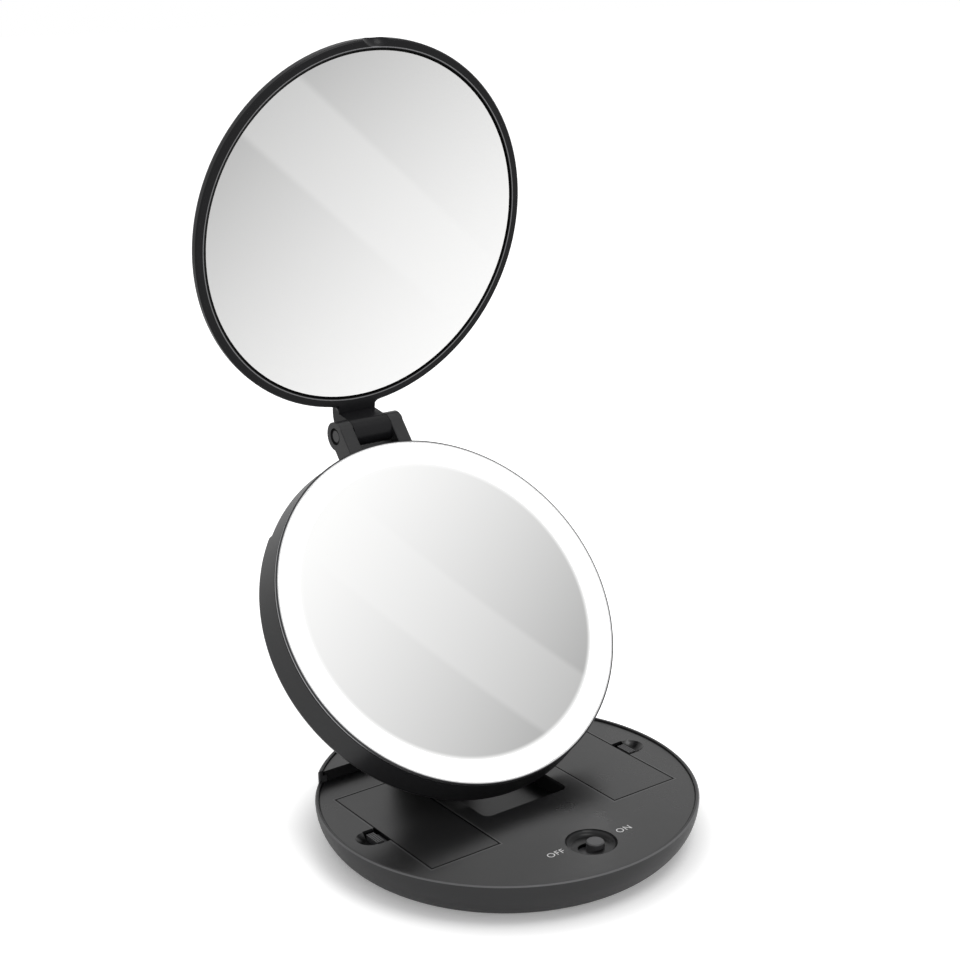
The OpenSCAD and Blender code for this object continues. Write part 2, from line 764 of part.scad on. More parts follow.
module disc_rear_housing() color([0.2, 0.2, 0.21]) at_disc() {
    difference() {
        union() {
            difference() {
                housing_body(0, -bezel_h);
                relief_cut(0);
            }
            for (side = [0, 1]) mirror([side, 0, 0]) hinge_ear();
            // saddle between the ears
            box([-ear_in - eps, ear_root, relief_z],
                [ear_in + eps, hinge_y - hinge_r - saddle_gap, -bezel_h - saddle_drop]);
        }
        difference() {
            housing_body(disc_wall, 1);
            relief_cut(disc_wall);
            // posts of the mirror carrier
            for (turn = [45 : 90 : 315])
                rotate([0, 0, turn]) translate([post_ring, 0, -disc_t])
                    cylinder(r = post_r, h = disc_t + led_low);
            // ledge of the light board
            tube(led_out + 1, led_out - 1.5, -disc_t, led_low);
            // pad behind the tilt bracket
            box([-bracket_w / 2 - 2, -bracket_l / 2 - 2, -disc_t - 1],
                [bracket_w / 2 + 2, bracket_l / 2 + 2, -disc_t + bracket_t + 2]);
        }
        // seat of the tilt bracket
        box([-bracket_w / 2 - seam, -bracket_l / 2 - seam, -disc_t - 1],
            [bracket_w / 2 + seam, bracket_l / 2 + seam, -disc_t + bracket_t]);
        bracket_screw_places() cylinder(r = bracket_screw_r + run, h = bracket_screw_l + 1.1);
    }
}

// A cheek that rises from the rim, drilled for the lid's pin and its head
module hinge_ear() {
    difference() {
        union() {
            bar_x(hinge_r, ear_in, ear_out, hinge_y, -hinge_drop);
            box([ear_in, ear_root, relief_z], [ear_out, hinge_y, hinge_r - hinge_drop - eps]);
        }
        // room for the bezel
        translate([0, 0, -bezel_h]) cylinder(r = bezel_r + side_gap, h = disc_t);
        for (x = [ear_in, ear_out])
            edge_y(x, 0, hinge_y, hinge_r - hinge_drop, ear_bevel);
        bar_x(lid_pin_d / 2 + run / 2, ear_in - 1, ear_out + 1, hinge_y, -hinge_drop);
        bar_x(pin_sink_r, ear_out - pin_sink, ear_out + 1, hinge_y, -hinge_drop);
    }
}

module disc_front_bezel() color([0.25, 0.25, 0.26]) at_disc() {
    chamfer = 0.3;
    rotate_extrude() polygon([[bezel_in, -bezel_h], [bezel_r - chamfer, -bezel_h],
        [bezel_r, chamfer - bezel_h], [bezel_r, -chamfer], [bezel_r - chamfer, 0], [bezel_in, 0]]);
}

module light_diffuser_ring() color([1, 1, 0.98]) at_disc() {
    tube(ring_out, ring_in, -bezel_h, -ring_drop);
    tube(led_out, ring_in, -ring_low, -bezel_h + eps);
}

module led_board() color([0.9, 0.9, 0.88]) at_disc() {
    tube(led_out, carrier_out + 0.3, led_low, led_z);
}

module led_chips() color([1, 0.95, 0.6]) at_disc() {
    for (i = [0 : led_count - 1])
        rotate([0, 0, 360 * i / led_count])
            translate([(led_out + carrier_out) / 2, 0, led_z + chip_h / 2])
                cube([chip_l, chip_w, chip_h], center = true);
}

// A shallow cup that holds the glass and keeps the light in the ring
module mirror_carrier() color([0.93, 0.93, 0.92]) at_disc() {
    difference() {
        translate([0, 0, led_low]) cylinder(r = carrier_out, h = -ring_low - led_low);
        translate([0, 0, led_low + carrier_t]) cylinder(r = carrier_in, h = disc_t);
        translate([0, 0, -glass_seat]) cylinder(r = ring_in, h = disc_t);
    }
}

// Concave in front, of even thickness, with a flat rim
module magnifying_mirror() color([0.85, 0.87, 0.88]) at_disc() {
    ball = (glass_r * glass_r + glass_sag * glass_sag) / (2 * glass_sag);
    ball_z = ball - glass_drop - glass_sag;
    intersection() {
        translate([0, 0, -glass_seat - glass_sag]) cylinder(r = glass_r, h = glass_sag + glass_t);
        difference() {
            union() {
                translate([0, 0, ball_z - glass_t]) sphere(r = ball);
                tube(glass_r, glass_r - 1.2, -glass_seat, -glass_drop);
            }
            translate([0, 0, ball_z]) sphere(r = ball);
            tube(glass_r + 1, carrier_in - seam, -disc_t, -glass_seat);
        }
    }
}

module tilt_bracket() color([0.18, 0.18, 0.19]) at_disc() {
    difference() {
        union() {
            box([-bracket_w / 2, -bracket_l / 2, -disc_t],
                [bracket_w / 2, bracket_l / 2, bracket_t - disc_t]);
            for (side = [0, 1]) mirror([side, 0, 0]) {
                bar_x(tilt_r, bracket_in, bracket_in + bracket_ear, 0, -disc_t - tilt_drop);
                box([bracket_in, -tilt_r + eps, -disc_t - tilt_drop],
                    [bracket_in + bracket_ear, tilt_r - eps, -disc_t + eps]);
            }
        }
        bar_x(tilt_pin_d / 2 + run, -bracket_w, bracket_w, 0, -disc_t - tilt_drop);
        bracket_screw_places() {
            translate([0, 0, -1]) cylinder(r = bracket_head_r + seam, h = 2);
            translate([0, 0, -1]) cylinder(r = bracket_screw_r + seam, h = 4);
        }
    }
}

module bracket_screws() color([0.55, 0.55, 0.57]) at_disc() bracket_screw_places() {
    translate([0, 0, 1 - bracket_head_h]) cylinder(r = bracket_head_r, h = bracket_head_h);
    translate([0, 0, 1 - eps]) cylinder(r = bracket_screw_r, h = bracket_screw_l);
}

// lid

module lid_hinge_pin() color([0.5, 0.5, 0.52]) at_disc() {
    head = ear_out - pin_sink;
    bar_x(lid_pin_d / 2, -head, head, hinge_y, -hinge_drop);
    for (side = [0, 1]) mirror([side, 0, 0])
        bar_x(pin_head_r, head, head + pin_head_h, hinge_y, -hinge_drop);
}

// A flat disc with a round rear edge and a chamfered front edge
module lid_body() {
    chamfer = 0.5;
    low = lid_edge - lid_t;
    rotate_extrude() {
        polygon([[0, low], [lid_r, low], [lid_r, -chamfer], [lid_r - chamfer, 0], [0, 0]]);
        translate([0, -lid_t]) square([lid_r - lid_edge + eps, lid_edge + eps]);
        intersection() {
            translate([lid_r - lid_edge, low]) circle(r = lid_edge, $fn = arc_fn);
            translate([lid_r - lid_edge, -lid_t - 1]) square([lid_edge + 1, lid_edge + 1]);
        }
    }
}

// The round inner corner between the lid's edge and the tab of its hinge
module tab_fillet(half_w) {
    x = half_w + tab_fillet_r;
    y = sqrt(pow(lid_r + tab_fillet_r, 2) - x * x);
    difference() {
        box([half_w - 1, -y, lid_edge - lid_t], [x, 3 - lid_r, -0.5]);
        translate([x, -y, -lid_t]) cylinder(r = tab_fillet_r, h = lid_t);
    }
}

module lid_frame() color([0.09, 0.09, 0.09]) at_lid() {
    half_w = lid_knuckle_w / 2;
    difference() {
        union() {
            lid_body();
            for (side = [0, 1]) mirror([side, 0, 0]) tab_fillet(half_w);
            bar_x(hinge_r, -half_w, half_w, -hinge_y, lid_axis_z);
            // web that curls from the lid's back up to the knuckle
            intersection() {
                bar_x(web_r, -half_w, half_w, web_r - hinge_y - hinge_r + 0.3, lid_axis_z);
                union() {
                    box([-half_w, -hinge_y - hinge_r, -lid_t - 1], [half_w, -web_y, lid_axis_z]);
                    box([-half_w, -hinge_y - hinge_r, -lid_t - 1], [half_w, -lid_r + 3, 0]);
                }
            }
        }
        rotate_extrude() polygon([[0, -lid_pocket], [lid_glass_r + 0.1, -lid_pocket],
            [lid_glass_r + 0.1, -lid_glass_drop], [lid_glass_r + lip_w, 0], [lid_glass_r + lip_w, 1],
            [0, 1]]);
        bar_x(lid_pin_d / 2 + run, -half_w - 1, half_w + 1, -hinge_y, lid_axis_z);
        // thumb scoop
        translate([0, lid_r + 3.4, 2.6]) sphere(r = thumb_r);
    }
}

module lid_mirror() color([0.8, 0.82, 0.83]) at_lid() {
    translate([0, 0, -lid_glass_drop - lid_glass_t]) cylinder(r = lid_glass_r, h = lid_glass_t);
}

module lid_mirror_pad() color([0.95, 0.95, 0.9]) at_lid() {
    translate([0, 0, -lid_pocket]) cylinder(r = lid_glass_r - lid_pad_in, h = lid_pad_t);
}

base_bottom_shell();
non_slip_pad();
base_top_plate();
battery_tray_left();
battery_tray_right();
battery_cells_left();
battery_cells_right();
battery_springs();
battery_contacts();
battery_door_left();
battery_door_right();
door_latch_left();
door_latch_right();
base_screws();
switch_knob();
switch_lever();
switch_body();
switch_board();
arm_hinge_pin();
support_arm();
arm_cover();
tilt_pin();
disc_rear_housing();
disc_front_bezel();
light_diffuser_ring();
led_board();
led_chips();
mirror_carrier();
magnifying_mirror();
tilt_bracket();
bracket_screws();
lid_hinge_pin();
lid_frame();
lid_mirror();
lid_mirror_pad();
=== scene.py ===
"""A folding travel mirror with a light ring, dressed for display.

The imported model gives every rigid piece; this script adds finishes, the lettering beside the switch,
the wound contact springs, the dished magnifying glass and the studio. It is laid out as an add-on and
run as a script.
"""

import math
from typing import NamedTuple

import bpy
import numpy as np
from mathutils import Matrix, Vector


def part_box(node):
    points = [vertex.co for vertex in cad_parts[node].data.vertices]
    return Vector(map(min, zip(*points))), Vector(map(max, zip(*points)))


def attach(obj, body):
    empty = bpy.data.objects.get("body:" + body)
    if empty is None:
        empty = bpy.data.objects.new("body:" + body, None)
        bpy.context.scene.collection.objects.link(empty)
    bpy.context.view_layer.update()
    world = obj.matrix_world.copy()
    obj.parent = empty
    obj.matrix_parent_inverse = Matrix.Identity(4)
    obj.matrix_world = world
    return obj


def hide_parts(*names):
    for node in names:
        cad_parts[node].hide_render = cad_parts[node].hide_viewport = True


bl_info = {
    "name": "Folding Travel Mirror",
    "version": (1, 0, 0),
    "blender": (4, 5, 0),
    "location": "View3D > Sidebar > Mirror",
    "description": "Finishes, lettering, springs, dished glass and studio for a folding lit mirror",
    "category": "Object",
}

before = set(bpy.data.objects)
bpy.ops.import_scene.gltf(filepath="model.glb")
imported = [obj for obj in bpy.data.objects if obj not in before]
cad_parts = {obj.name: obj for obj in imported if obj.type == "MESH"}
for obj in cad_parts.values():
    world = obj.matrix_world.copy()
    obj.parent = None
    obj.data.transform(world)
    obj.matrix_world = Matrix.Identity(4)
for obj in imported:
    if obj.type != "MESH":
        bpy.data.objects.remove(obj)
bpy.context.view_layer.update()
MM = 0.001


def node_box(node):
    """Lowest and highest corner of a rigid piece, as arrays in metres."""
    low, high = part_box(node)
    return np.array(low), np.array(high)


def node_centre(node):
    """Middle of a rigid piece's box, in metres."""
    low, high = node_box(node)
    return tuple((low + high) / 2)


PLATE_TOP = float(node_box("battery_door_right")[1][2])
CELL_LOW, CELL_HIGH = node_box("battery_cells_right")
SPRING_LOW, SPRING_HIGH = node_box("battery_springs")
SPRING_LENGTH = 5.1 * MM

# Angle between each mirror's plane and the level behind it, in degrees.
DISC_LEAN = 49.85
LID_LEAN = 99.35

# Outlines on the base, in millimetres: middle and half size of the right door's opening, radius of the
# plate, and height of the shell's lip over the plate.
DOOR_X, DOOR_Y = 38.45, 0.6
DOOR_HALF_WIDTH, DOOR_HALF_LENGTH = 13.65, 30.0
PLATE_RADIUS = 66.0
LIP_HEIGHT = 0.6

# Level of the bezel's front over the middle of its box, in millimetres.
TRIM_FRONT = 0.75

# Painted shade and painted highlights, in millimetres: the place of each, how far from there it is full,
# and where it ends. A door's are placed from its outline, the lid's by radius and the bezel's by depth
# under its front. The door's seam is painted shade in the gap; the others are painted highlights.
DOOR_SEAM_SHADE = (0, 0.2, 0.45)
DOOR_PAINTED_HIGHLIGHT = (0.6, 0.06, 0.3)
LID_PAINTED_HIGHLIGHT = (64.75, 0.1, 0.25)
TRIM_PAINTED_HIGHLIGHT = (0.62, 0.12, 0.3)

# Where masks go from 0 to 1, in millimetres: the painted shade of the rim's seam from the plate's outline,
# the end of the door's painted highlight and a recess's painted shade by depth, the painted highlight on
# the lip's bevel by level from its top and by radius, the lid's front by level, the end of the painted
# shade on its slope by radius, and the end of the bezel's face, painted white as the light ring's glow,
# by radius.
RIM_SEAM_SHADE = (-0.5, -0.1)
PAINTED_HIGHLIGHT_DEPTH = (0.2, 0.5)
RECESS_SHADE_DEPTH = (0.4, 1.8)
LIP_HIGHLIGHT_LEVEL = (-0.42, -0.3)
LIP_HIGHLIGHT_RADII = (66.8, 67.1)
LID_FRONT = (0.3, 0.6)
LID_SHADE_SLOPE = (64.3, 64.5)
TRIM_GLOW_FACE = (65.6, 65.85)

# Colours of the painted shade and the painted highlights on plastic.
PAINTED_SHADE_BLACK = (0.002, 0.002, 0.002)
PAINTED_HIGHLIGHT_PALE = (0.45, 0.45, 0.46)

# Lettering: height of a capital over the font's size, ink over the plate, and for each word its side
# of the switch and its shift across and along, in millimetres.
CAPITAL_SHARE = 0.7
INK_HEIGHT = 0.02 * MM
WORDS = (("OFF", -1, (0.0, 0.9)), ("ON", 1, (-0.1, 0.0)))

# Studio, in metres: half of the floor, radii between which its haze grows and its painted shade round
# the base ends, place and width of the lamps, and the point that they face; and the share of the floor's
# white that mirrors and glass see.
FLOOR_HALF = 6.0
FLOOR_SHADE_RADII = (0.060, 0.088)
KEY_LAMP = ((0.15, -0.45, 1.45), 0.6)
FILL_LAMP = ((-0.4, -1.3, 0.3), 0.7)
LAMP_AIM = (0, 0, 0.1)
MIRRORED_WHITE = 0.35

WHITE = (1, 1, 1)

# Angle past which an edge of the magnifying glass is sharp.
SHARP_EDGE = math.radians(40)

# Sockets of the Mix node that are for its factor, its two colours and their mixture.
MIX_FACTOR, MIX_FIRST, MIX_SECOND, MIX_RESULT = 0, 6, 7, 2

# Unit of the distance in a painted sheen's parabola, and half of the blur at the edges of its painted
# band, in millimetres.
PAINTED_SHEEN_UNIT = 50
PAINTED_BAND_BLUR = 1.6


class PaintedReflection(NamedTuple):
    """A painted reflection on a silvered glass, standing in for what a bright room puts on it: painted
    dullness towards one side and a painted pale slanting band.

    The dullness is a parabola of the distance along way, in sheen units: dull in the middle, plus
    change times the distance, plus bend times its square. In a band at angle slope, which reaches half
    to each side of place, it is less by the share gain. It ends between the two radii of halo, next to
    the light ring, so that the glass's edge is painted bright as the ring's glow; the lid's are outside
    its glass. Angles in degrees, distances in millimetres."""

    way: float
    dull: float
    change: float
    bend: float
    slope: float
    place: float
    half: float
    gain: float
    halo: tuple


# Painted reflections on the two glasses.
MAGNIFIER_PAINTED_SHEEN = PaintedReflection(way=126.3, dull=0.246, change=-0.250, bend=0.019,
                        slope=-54.5, place=-3.4, half=15, gain=0.17, halo=(55.4, 57.3))
LID_PAINTED_SHEEN = PaintedReflection(way=-48.2, dull=0.201, change=-0.194, bend=0.028,
                  slope=-40.1, place=10.3, half=13.8, gain=0.21, halo=(64, 65))


class Wire:
    """A node output that takes part in Python sums; each sum adds one Math node."""

    def __init__(self, tree, socket):
        self.tree = tree
        self.socket = socket

    def _math(self, operation, *values):
        return self.tree.node("ShaderNodeMath", {"operation": operation}, values)

    def __add__(self, other):
        return self._math("ADD", self, other)

    __radd__ = __add__

    def __mul__(self, other):
        return self._math("MULTIPLY", self, other)

    __rmul__ = __mul__

    def __sub__(self, other):
        return self._math("SUBTRACT", self, other)

    def __rsub__(self, other):
        return self._math("SUBTRACT", other, self)

    def __truediv__(self, other):
        return self._math("DIVIDE", self, other)

    def __rtruediv__(self, other):
        return self._math("DIVIDE", other, self)

    def most(self, other):
        return self._math("MAXIMUM", self, other)

    def size(self):
        return self._math("ABSOLUTE", self)

    def wave(self):
        return self._math("SINE", self)

    def root(self):
        return self._math("SQRT", self)

    def ramp(self, low, high):
        """0 at low and 1 at high, smooth between them."""
        settings = {"interpolation_type": "SMOOTHSTEP"}
        inputs = {"Value": self, "From Min": low, "From Max": high}
        return self.tree.node("ShaderNodeMapRange", settings, inputs)

    def line(self, place, core, edge):
        """1 within core of place and 0 beyond edge of it, smooth between them."""
        return 1 - (self - place).size().ramp(core, edge)


class Tree:
    """The nodes of a material or a world, added one by one."""

    def __init__(self, owner):
        owner.use_nodes = True
        self.nodes = owner.node_tree.nodes
        self.links = owner.node_tree.links
        self.nodes.clear()

    def node(self, kind, settings=None, inputs=(), output=0):
        """Adds a node: its settings first, then its inputs by place or by name. Gives one output."""
        made = self.nodes.new(kind)
        for name, value in (settings or {}).items():
            setattr(made, name, value)
        pairs = inputs.items() if isinstance(inputs, dict) else enumerate(inputs)
        for key, value in pairs:
            self.plug(made.inputs[key], value)
        return Wire(self, made.outputs[output]) if made.outputs else None

    def plug(self, socket, value):
        """Links a wire to a socket or sets the socket's value; a colour may come without its alpha."""
        if isinstance(value, Wire):
            self.links.new(value.socket, socket)
        elif socket.type == "RGBA" and len(value) == 3:
            socket.default_value = (*value, 1)
        else:
            socket.default_value = value

    def ray(self, kind):
        """1 for rays of a kind, such as Camera, and 0 for all others."""
        return self.node("ShaderNodeLightPath", output=f"Is {kind} Ray")


class Finish(Tree):
    """A material with one Principled shader."""

    def __init__(self, name):
        self.material = bpy.data.materials.new(name)
        super().__init__(self.material)
        surface = self.node("ShaderNodeBsdfPrincipled")
        self.node("ShaderNodeOutputMaterial", {}, {"Surface": surface})
        self.shader = surface.socket.node
        self._place = None

    def set(self, **values):
        """Sets or links the shader's own sockets; an underscore stands for a space."""
        for name, value in values.items():
            self.plug(self.shader.inputs[name.replace("_", " ")], value)

    def place(self):
        """Object coordinates, in metres."""
        if self._place is None:
            self._place = self.node("ShaderNodeTexCoord", output="Object")
        return self._place

    def measured(self, centre=(0, 0, 0), lean=0, unit=MM):
        """Distances from centre along X, up a leaning plane and square to that plane.

        lean is the angle between the plane and the level behind it, in degrees. Each distance is the
        dot product of the place, less the centre, with its direction, divided by the unit in metres."""
        moved = self.node("ShaderNodeVectorMath", {"operation": "SUBTRACT"}, [self.place(), centre])
        ways = Matrix.Rotation(math.radians(lean), 3, "X").transposed()
        rows = [tuple(part / unit for part in way) for way in ways]
        settings = {"operation": "DOT_PRODUCT"}
        return [self.node("ShaderNodeVectorMath", settings, [moved, row], "Value") for row in rows]

    def noise(self, scale, detail=2, roughness=0.5, vector=None):
        """Noise from 0 to 1 with about scale swells to the metre, or to the unit of the vector."""
        inputs = {"Vector": vector or self.place(), "Scale": scale, "Detail": detail, "Roughness": roughness}
        return self.node("ShaderNodeTexNoise", {}, inputs)

    def mix(self, factor, first, second):
        """The first colour where the factor is 0 and the second where it is 1."""
        inputs = {MIX_FACTOR: factor, MIX_FIRST: first, MIX_SECOND: second}
        return self.node("ShaderNodeMix", {"data_type": "RGBA"}, inputs, MIX_RESULT)

    def bump(self, height, distance, strength):
        """Normals bent by a height of 0 to 1, which stands for a distance in metres."""
        inputs = {"Strength": strength, "Distance": distance, "Height": height}
        return self.node("ShaderNodeBump", {}, inputs)


def tint(colour, factor):
    """The colour made darker or lighter by a factor, up to white."""
    return tuple(min(1.0, channel * factor) for channel in colour)


def from_axis(across, up):
    """Distance from the axis, the root of the sum of the squares of the distances across and up."""
    return (across * across + up * up).root()


def along_line(across, up, degrees):
    """Distance along a line at an angle, from the distances across and up."""
    return across * math.cos(math.radians(degrees)) + up * math.sin(math.radians(degrees))


def plate_painted_light(finish):
    """Painted shade in the seams round the two doors and the plate's rim and in recesses, and a painted
    highlight on the edge by each door.

    door is the distance outside the nearest door's outline, rim the distance outside the plate's
    outline and below the depth under its top, in millimetres."""
    x, y, z = finish.measured()
    door = ((x.size() - DOOR_X).size() - DOOR_HALF_WIDTH).most((y - DOOR_Y).size() - DOOR_HALF_LENGTH)
    rim = from_axis(x, y) - PLATE_RADIUS
    below = PLATE_TOP / MM - z
    # Painted shade in the seams' gaps and in recesses, and a painted highlight by each door.
    seam = door.line(*DOOR_SEAM_SHADE).most(rim.ramp(*RIM_SEAM_SHADE))
    lit = door.line(*DOOR_PAINTED_HIGHLIGHT) * (1 - below.ramp(*PAINTED_HIGHLIGHT_DEPTH))
    return (seam * 0.95).most(below.ramp(*RECESS_SHADE_DEPTH) * 0.6), lit * 0.12


def shell_painted_highlight(finish):
    """A painted highlight along the bevel at the top of the base's lip, and no painted shade."""
    x, y, z = finish.measured()
    top = PLATE_TOP / MM + LIP_HEIGHT
    lit = (z - top).ramp(*LIP_HIGHLIGHT_LEVEL) * from_axis(x, y).ramp(*LIP_HIGHLIGHT_RADII)
    return None, lit * 0.2


def lid_painted_light(finish):
    """Painted shade on the slope round the lid's glass and a painted highlight at its crest, on the lid's
    front alone.
    """
    across, up, level = finish.measured(node_centre("lid_mirror"), LID_LEAN)
    out = from_axis(across, up)
    front = level.ramp(*LID_FRONT)
    lit = out.line(*LID_PAINTED_HIGHLIGHT) * front
    return (1 - out.ramp(*LID_SHADE_SLOPE)) * front, lit * 0.45


def with_painted_light(finish, colour, lines):
    """The colour with painted light: black painted shade where the first of the lines' two masks is 1 and
    a pale painted highlight where the second is.

    The painted shade is a metal's black, which mirrors nothing."""
    if lines is None:
        return colour
    dark, lit = lines(finish)
    if dark is not None:
        finish.set(Metallic=dark)
        colour = finish.mix(dark, colour, PAINTED_SHADE_BLACK)
    return finish.mix(lit, colour, PAINTED_HIGHLIGHT_PALE)


def moulded_plastic(name, colour, roughness, grain=0.10, depth=0.012, specular=0.4, lines=None):
    """Moulded plastic: fine spark-eroded grain, faint flow mottling and a few smooth-rubbed patches.

    grain is the grain's size and depth its height, in millimetres."""
    finish = Finish(name)
    broad = finish.noise(28, 3)
    streak = finish.noise(160, 2, 0.6)
    fine = finish.noise(1000 / grain * 0.55, 2, 0.6)
    mottle = broad * 0.6 + streak * 0.4
    rubbed = broad.ramp(0.52, 0.72)
    finish.set(
        # lines adds any painted shade and painted highlights to the colour.
        Base_Color=with_painted_light(finish, finish.mix(mottle, tint(colour, 0.90), tint(colour, 1.10)), lines),
        Roughness=roughness + (mottle - 0.5) * 0.10 - rubbed * 0.05,
        Specular_IOR_Level=specular,
        Normal=finish.bump(fine, depth * MM, 0.6),
    )
    return finish.material


def polished_plastic(name, colour, roughness, specular, lines):
    """Half-gloss plastic: a faint ripple from moulding, hairline handling marks and dust-fine specks."""
    finish = Finish(name)
    ripple = finish.noise(45, 2)
    hair = finish.noise(900, 2, 0.7)
    marks = (finish.noise(220, 3, 0.7) - 0.5).size().ramp(0.0, 0.02)
    finish.set(
        # lines adds any painted shade and painted highlights to the colour.
        Base_Color=with_painted_light(finish, finish.mix(ripple, tint(colour, 0.88), tint(colour, 1.12)), lines),
        Roughness=roughness + (hair - 0.5) * 0.06 + (1 - marks) * 0.05,
        Specular_IOR_Level=specular,
        Normal=finish.bump(ripple * 0.8 + hair * 0.2, 0.02 * MM, 0.35),
    )
    return finish.material


def worked_metal(name, colour, roughness):
    """Bare metal with fine tool marks and faint clouds of tarnish."""
    finish = Finish(name)
    marks = finish.noise(1500, 3, 0.6)
    broad = finish.noise(90, 2)
    finish.set(
        Base_Color=finish.mix(broad, tint(colour, 0.90), tint(colour, 1.08)),
        Metallic=1.0,
        Roughness=roughness + (marks - 0.5) * 0.18,
        Normal=finish.bump(marks, 0.004 * MM, 0.5),
    )
    return finish.material


def painted_light_trim(name, centre, lean):
    """Thin turned trim: white face painted as the light ring's glow, dark outer edge and a painted
    highlight line half way down its side.

    centre is the middle of the trim's box and lean the angle of its plane, in degrees."""
    finish = Finish(name)
    across, up, level = finish.measured(centre, lean)
    turning = finish.noise(2.2, 2, 0.6, finish.node("ShaderNodeCombineXYZ", {}, [across, up, level]))
    # Painted highlight half way down the side, and the face painted white as the light ring's glow.
    pale = (TRIM_FRONT - level).line(*TRIM_PAINTED_HIGHLIGHT) * (turning * 0.2 + 0.9)
    face = 1 - from_axis(across, up).ramp(*TRIM_GLOW_FACE)
    side = finish.mix(pale, (0.045, 0.045, 0.047), (0.42, 0.42, 0.43))
    finish.set(
        Base_Color=finish.mix(face, side, (0.88, 0.88, 0.88)),
        Metallic=(1 - face) * 0.85,
        Roughness=0.30 + turning * 0.08,
        Normal=finish.bump(turning, 0.004 * MM, 0.4),
    )
    return finish.material


def rubber(name, colour):
    """Soft matt rubber with a fine pebbled skin and a dusty bloom."""
    finish = Finish(name)
    pebble = finish.node("ShaderNodeTexVoronoi", {}, {"Vector": finish.place(), "Scale": 1400.0})
    bloom = finish.noise(60, 4)
    finish.set(
        Base_Color=finish.mix(bloom, tint(colour, 0.8), tint(colour, 1.5)),
        Roughness=0.78 + bloom * 0.12,
        Normal=finish.bump(pebble, 0.03 * MM, 0.5),
    )
    return finish.material


def glowing_diffuser(name, colour, strength):
    """Milky light-guiding plastic that glows almost evenly, with faint clouds in it."""
    finish = Finish(name)
    cloud = finish.noise(70, 2)
    finish.set(
        Base_Color=finish.mix(cloud, tint(colour, 0.97), colour),
        Roughness=0.38 + cloud * 0.06,
        Emission_Color=finish.mix(cloud, tint(colour, 0.98), colour),
        Emission_Strength=strength,
    )
    return finish.material


def silvered_glass(name, colour, centre, lean, sheen):
    """Silvered glass with a painted reflection: the sheen that a bright room and the light ring would put
    on it.

    centre is the middle of the glass's box and lean the angle of its plane, in degrees."""
    finish = Finish(name)
    across, up, _ = finish.measured(centre, lean)
    # Painted reflection: dullness darkens the glass towards one side, less in a pale band and not at the
    # ring's painted glow.
    far = along_line(across, up, sheen.way) / PAINTED_SHEEN_UNIT
    beside = along_line(across, up, sheen.slope + 90)
    band = beside.line(sheen.place, sheen.half - PAINTED_BAND_BLUR, sheen.half + PAINTED_BAND_BLUR)
    dull = (far * sheen.bend + sheen.change) * far + sheen.dull
    dull = dull * (1 - band * sheen.gain)
    dull = dull * (1 - from_axis(across, up).ramp(*sheen.halo))
    cloud = finish.noise(25, 2)
    finish.set(
        Base_Color=finish.mix(dull.most(0.0), colour, (0, 0, 0)),
        Metallic=1.0,
        Roughness=0.05 + cloud * 0.02,
    )
    return finish.material


def printed_jacket(name, body, band, low, high):
    """A cell's foil jacket: body colour with a band near the positive end, over a steel can.

    low and high are the ends of the cells along Y, in metres."""
    finish = Finish(name)
    _, along, _ = finish.measured(unit=1)
    level = (along - low) / (high - low)
    edge = level.ramp(0.70, 0.71)
    scuff = finish.noise(300, 3, 0.6)
    finish.set(
        Base_Color=finish.mix(edge, body, band),
        Metallic=0.55,
        Roughness=0.34 + scuff * 0.12,
        Normal=finish.bump(scuff, 0.01 * MM, 0.3),
    )
    return finish.material


def board_lacquer(name, colour, threads=9000):
    """Glass-epoxy board under lacquer, with the faint weave of its cloth.

    The weave is sine of (threads times x) times sine of (threads times y), with x and y in metres."""
    finish = Finish(name)
    across, along, _ = finish.measured(unit=1)
    weave = (across * threads).wave() * (along * threads).wave()
    finish.set(
        Base_Color=finish.mix(weave * 0.5 + 0.5, tint(colour, 0.9), tint(colour, 1.1)),
        Roughness=0.35 + weave * 0.03,
        Normal=finish.bump(weave, 0.005 * MM, 0.5),
    )
    return finish.material


def white_ink(name, colour):
    """Matt printing ink, a little thin in specks."""
    finish = Finish(name)
    speck = finish.noise(2500, 2)
    finish.set(Base_Color=finish.mix(speck, tint(colour, 0.9), colour), Roughness=0.5 + speck * 0.1)
    return finish.material


def floor_finish(name, colour, haze):
    """Matt floor that adds white of its own, by the share haze under the base and in full away from it; the
    less white round the base is painted shade there, over the real shadow.
    """
    finish = Finish(name)
    seen = finish.ray("Camera").most((finish.ray("Glossy") + finish.ray("Transmission")) * MIRRORED_WHITE)
    away = finish.node("ShaderNodeVectorMath", {"operation": "LENGTH"}, [finish.place()], "Value")
    # Less white round the base: painted shade, added to the real shadow of the lamps.
    white = seen * (away.ramp(*FLOOR_SHADE_RADII) * (1 - haze) + haze)
    finish.set(
        Base_Color=tuple(colour),
        Roughness=0.9,
        Specular_IOR_Level=0.0,
        Emission_Color=finish.mix(white, (0, 0, 0), (0.8, 0.8, 0.8)),
        Emission_Strength=1.0,
    )
    return finish.material


def bright_room(name, strength):
    """A world that lights evenly and is plain white to the camera, in mirrors and through glass."""
    world = bpy.data.worlds.new(name)
    room = Tree(world)
    even = room.node("ShaderNodeBackground", {}, {"Color": WHITE, "Strength": strength})
    white = room.node("ShaderNodeBackground", {}, {"Color": WHITE, "Strength": 1.0})
    seen = room.ray("Camera").most(room.ray("Glossy").most(room.ray("Transmission")))
    mixed = room.node("ShaderNodeMixShader", {}, [seen, even, white])
    room.node("ShaderNodeOutputWorld", {}, {"Surface": mixed})
    return world


def dress(material, *nodes):
    """Gives rigid pieces their finish."""
    for node in nodes:
        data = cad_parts[node].data
        data.materials.clear()
        data.materials.append(material)


